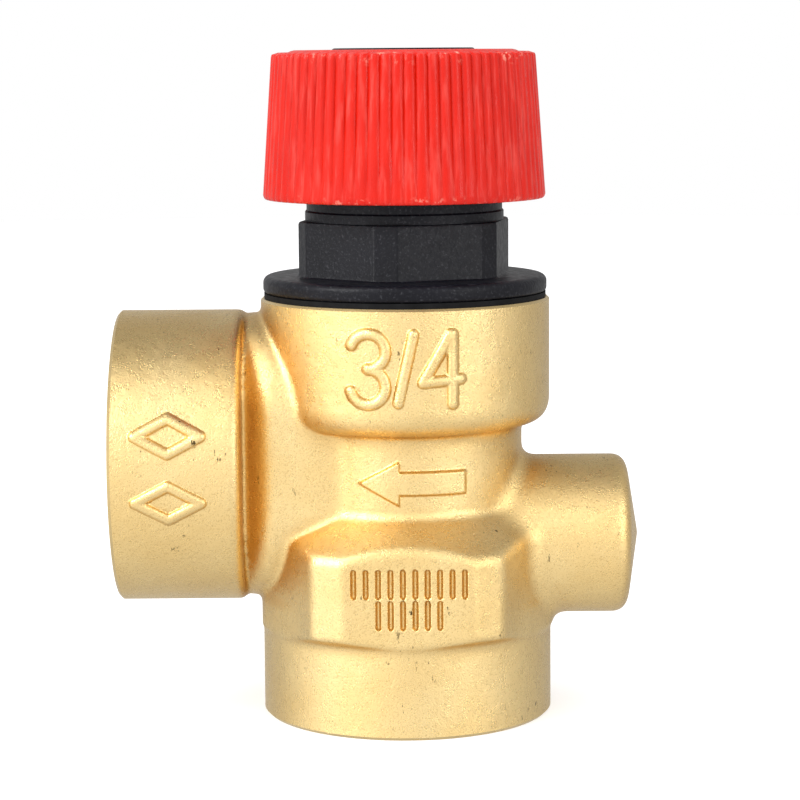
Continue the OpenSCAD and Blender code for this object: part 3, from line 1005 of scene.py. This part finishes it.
def softbox(name, azimuth, elevation, distance, width, height, power):
    """Area light aimed at the valve's middle; azimuth 0 is the camera's side, positive to the right."""
    target = Vector((0, 0, 0.037))
    data = bpy.data.lights.new(name, "AREA")
    data.shape = "RECTANGLE"
    data.size, data.size_y = width, height
    data.energy = power
    a, e = math.radians(azimuth), math.radians(elevation)
    away = Vector((math.sin(a) * math.cos(e), -math.cos(a) * math.cos(e), math.sin(e)))
    lamp = bpy.data.objects.new(name, data)
    lamp.location = target + distance * away
    lamp.rotation_euler = (-away).to_track_quat("-Z", "Y").to_euler()
    bpy.context.scene.collection.objects.link(lamp)
    return lamp


# What surfaces see all round: BASE by height, plus SURROUNDINGS by angle from the camera's side times BAND by
# height. Heights and angles are in degrees, and angles to the right are positive.
BASE = ((-90, 0.66), (-60, 0.62), (-20, 0.42), (10, 0.32), (60, 0.26), (90, 0.36))
BAND = ((-90, 0.3), (-50, 0.7), (-12, 1.4), (5, 1.5), (20, 2.0), (35, 2.0), (48, 1.8), (58, 1.3), (68, 0.7),
        (78, 0.25), (90, 0.1))
SURROUNDINGS = ((-180, 0.14), (-120, 0.16), (-95, 0.35), (-72, 0.80), (-50, 1.0), (-28, 0.75), (0, 0.42),
                (25, 0.45), (46, 0.62), (70, 0.42), (105, 0.14), (180, 0.08))


def by_height(n, upward, stops):
    """A value from (degrees, value) stops, by the upward part of the direction looked in."""
    curve = n.node("FloatCurve", Value=n.math("MULTIPLY_ADD", upward, 0.5, 0.5))
    points = curve.mapping.curves[0].points
    places = [(math.sin(math.radians(degrees)) / 2 + 0.5, value / 2) for degrees, value in stops]
    for point, place in zip(points, (places[0], places[-1])):
        point.location = place
    for place in places[1:-1]:
        points.new(*place)
    curve.mapping.update()
    return n.math("MULTIPLY", curve.outputs["Value"], 2.0)


def world():
    """A white studio. Surfaces see softer surroundings than the camera does: bright at the left front and the
    right front, less so in between, and dim overhead and behind."""
    studio = bpy.data.worlds.new("studio")
    studio.use_nodes = True
    n = Nodes(studio.node_tree)
    x, y, z = n.split(n.node("TexCoord").outputs["Generated"])
    azimuth = n.math("ARCTAN2", x, n.math("MULTIPLY", y, -1.0))
    stops = [(degrees / 360 + 0.5, (value, value, value)) for degrees, value in SURROUNDINGS]
    around = n.ramp(n.spread(azimuth, -math.pi, math.pi), *stops, blend="B_SPLINE")
    banded = n.math("MULTIPLY", around, by_height(n, z, BAND))

    seen = n.tree.nodes["Background"]
    n.put((1, 1, 1), seen.inputs["Color"])
    n.put(n.math("ADD", banded, by_height(n, z, BASE)), seen.inputs["Strength"])
    white = n.node("Background", Color=(1, 1, 1), Strength=1.0)
    choice = n.node("MixShader", Fac=n.node("LightPath").outputs["Is Camera Ray"])
    n.put(seen.outputs[0], choice.inputs[1])
    n.put(white.outputs[0], choice.inputs[2])
    n.put(choice.outputs[0], n.tree.nodes["World Output"].inputs["Surface"])
    bpy.context.scene.world = studio


def camera():
    """Long lens in front of the valve, a little over its middle and looking slightly down."""
    data = bpy.data.cameras.new("camera")
    data.sensor_width = 36.0
    data.lens = 117.4
    pitch, roll = math.radians(7.6), math.radians(-0.43)
    turn = Matrix.Rotation(math.radians(90) - pitch, 4, "X") @ Matrix.Rotation(roll, 4, "Z")
    cam = bpy.data.objects.new("camera", data)
    cam.location = (-0.65 * MM, -295.1 * MM, 74.95 * MM)
    cam.rotation_euler = turn.to_euler()
    bpy.context.scene.collection.objects.link(cam)
    bpy.context.scene.camera = cam


floor()
world()
softbox("key_left", -58, 32, 0.75, 0.28, 0.36, 2.9)
softbox("fill_right", 50, 18, 0.80, 0.20, 0.45, 1.2)
overhead = softbox("top", 0, 90, 1.1, 1.8, 1.8, 17)
overhead.visible_glossy = False
camera()
bpy.context.scene.view_settings.view_transform = "Standard"
